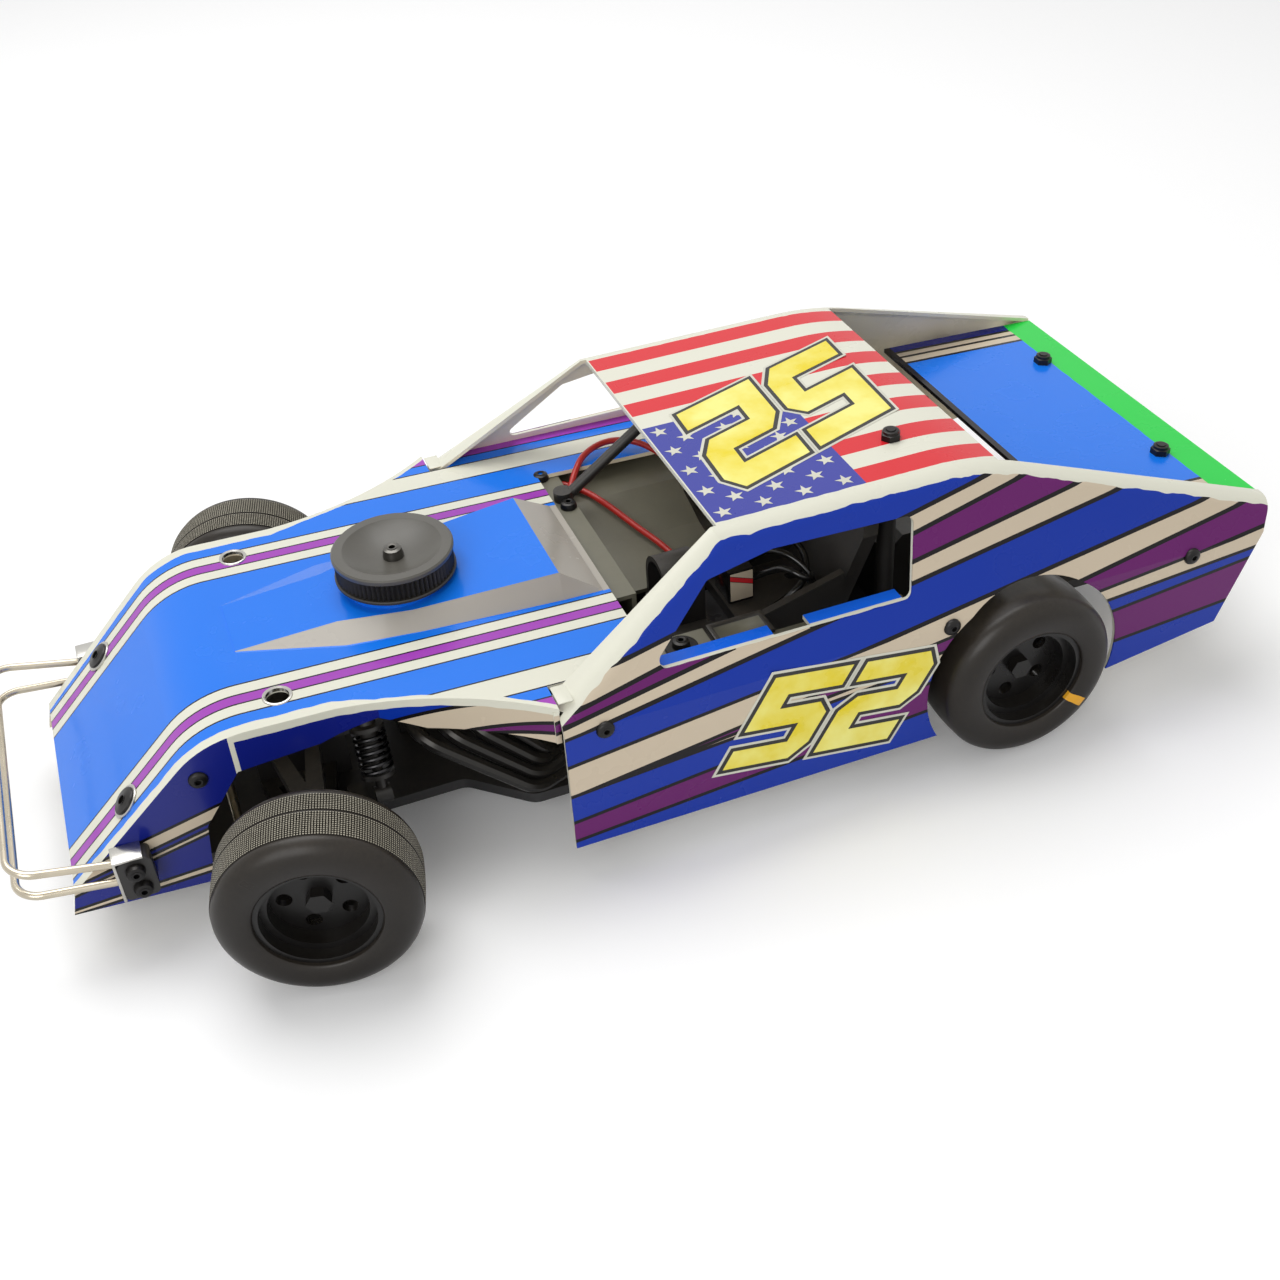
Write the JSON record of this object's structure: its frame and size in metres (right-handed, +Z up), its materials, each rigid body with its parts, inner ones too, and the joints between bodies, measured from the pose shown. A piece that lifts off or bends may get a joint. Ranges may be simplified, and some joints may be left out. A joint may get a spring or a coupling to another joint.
{
  "type": "radio controlled modified race car model",
  "caption": "Radio controlled dirt modified race car in 1:18 scale with a thin wrapped body, open front wheels, steering, rolling wheels and wire bumper.",
  "frame": {"origin": "on the floor under the middle of the car's length and width", "axes": "+X forward, +Y to the car's left, +Z up"},
  "size_m": [0.269, 0.1324, 0.0668],
  "materials": {
    "wrapped_sheet": "gloss printed film on white sheet",
    "tyre_rubber": "matt",
    "rim_plastic": "satin",
    "black_plastic": "satin",
    "interior_sheet": "satin",
    "wire_steel": "bright nickel",
    "shock_spring": "black oxide",
    "chassis_sheet": "black anodised",
    "motor_can": "satin",
    "battery_wrap": "shrink film",
    "wire_red": "satin"
  },
  "bodies": {
    "chassis": {"air_cleaner": "black_plastic", "battery": "battery_wrap", "battery_lead": "wire_red", "battery_strap": "black_plastic", "bumper_bracket_left": "black_plastic", "bumper_bracket_right": "black_plastic", "cage_brace": "black_plastic", "chassis_plate": "chassis_sheet", "front_bulkhead": "black_plastic", "front_bumper": "wire_steel", "front_lower_arm_left": "black_plastic", "front_lower_arm_right": "black_plastic", "front_shock_left": "shock_spring", "front_shock_right": "shock_spring", "front_upper_arm_left": "black_plastic", "front_upper_arm_right": "black_plastic", "headers_left": "black_plastic", "headers_right": "black_plastic", "interior_tray": "interior_sheet", "left_ledge": "interior_sheet", "motor": "motor_can", "motor_lead": "wire_red", "motor_mount": "black_plastic", "nose_brace": "black_plastic", "nose_hood": "wrapped_sheet", "rear_axle": "black_plastic", "rear_body_posts": "black_plastic", "rear_deck": "wrapped_sheet", "rear_shock_left": "shock_spring", "rear_shock_right": "shock_spring", "roof_panel": "wrapped_sheet", "roof_post_left": "black_plastic", "roof_post_right": "black_plastic", "seat": "black_plastic", "servo": "black_plastic", "side_panel_left": "wrapped_sheet", "side_panel_right": "wrapped_sheet", "speed_control": "black_plastic", "trailing_link_left": "black_plastic", "trailing_link_right": "black_plastic"},
    "wheel_front_left": {"rim_front_left": "rim_plastic", "tyre_front_left": "tyre_rubber"},
    "wheel_front_right": {"rim_front_right": "rim_plastic", "tyre_front_right": "tyre_rubber"},
    "wheel_rear_left": {"rim_rear_left": "rim_plastic", "tyre_rear_left": "tyre_rubber"},
    "wheel_rear_right": {"rim_rear_right": "rim_plastic", "tyre_rear_right": "tyre_rubber"},
    "knuckle_left": {"knuckle_left": "black_plastic"},
    "knuckle_right": {"knuckle_right": "black_plastic"},
    "tie_rod": {"tie_rod": "wire_steel"}
  },
  "joints": [
    {"name": "steer_left", "type": "hinge", "parent": "chassis", "child": "knuckle_left", "pos_m": [0.0764, 0.04, 0.02], "axis": [0, 0, 1], "range_deg": [-11.5, 38.5]},
    {"name": "steer_right", "type": "hinge", "parent": "chassis", "child": "knuckle_right", "pos_m": [0.0764, -0.04, 0.02], "axis": [0, 0, 1], "range_deg": [-11.5, 38.5]},
    {"name": "tie_rod_slide", "type": "slide", "parent": "chassis", "child": "tie_rod", "axis": [0, 1, 0], "range_m": [-0.00302, 0.00986]},
    {"name": "roll_front_left", "type": "hinge", "parent": "knuckle_left", "child": "wheel_front_left", "pos_m": [0.07967, 0.05361, 0.02], "axis": [0.2334, 0.9724, 0], "continuous": true},
    {"name": "roll_front_right", "type": "hinge", "parent": "knuckle_right", "child": "wheel_front_right", "pos_m": [0.07313, -0.05361, 0.02], "axis": [0.2334, 0.9724, 0], "continuous": true},
    {"name": "roll_rear_left", "type": "hinge", "parent": "chassis", "child": "wheel_rear_left", "pos_m": [-0.074, 0.0485, 0.02], "axis": [0, 1, 0], "continuous": true},
    {"name": "roll_rear_right", "type": "hinge", "parent": "chassis", "child": "wheel_rear_right", "pos_m": [-0.074, -0.0485, 0.02], "axis": [0, 1, 0], "continuous": true}
  ],
  "couplings": [
    {"joint": "steer_right", "follows": "steer_left", "ratio": 1},
    {"joint": "tie_rod_slide", "follows": "steer_left", "m_per_rad": 0.014529}
  ]
}
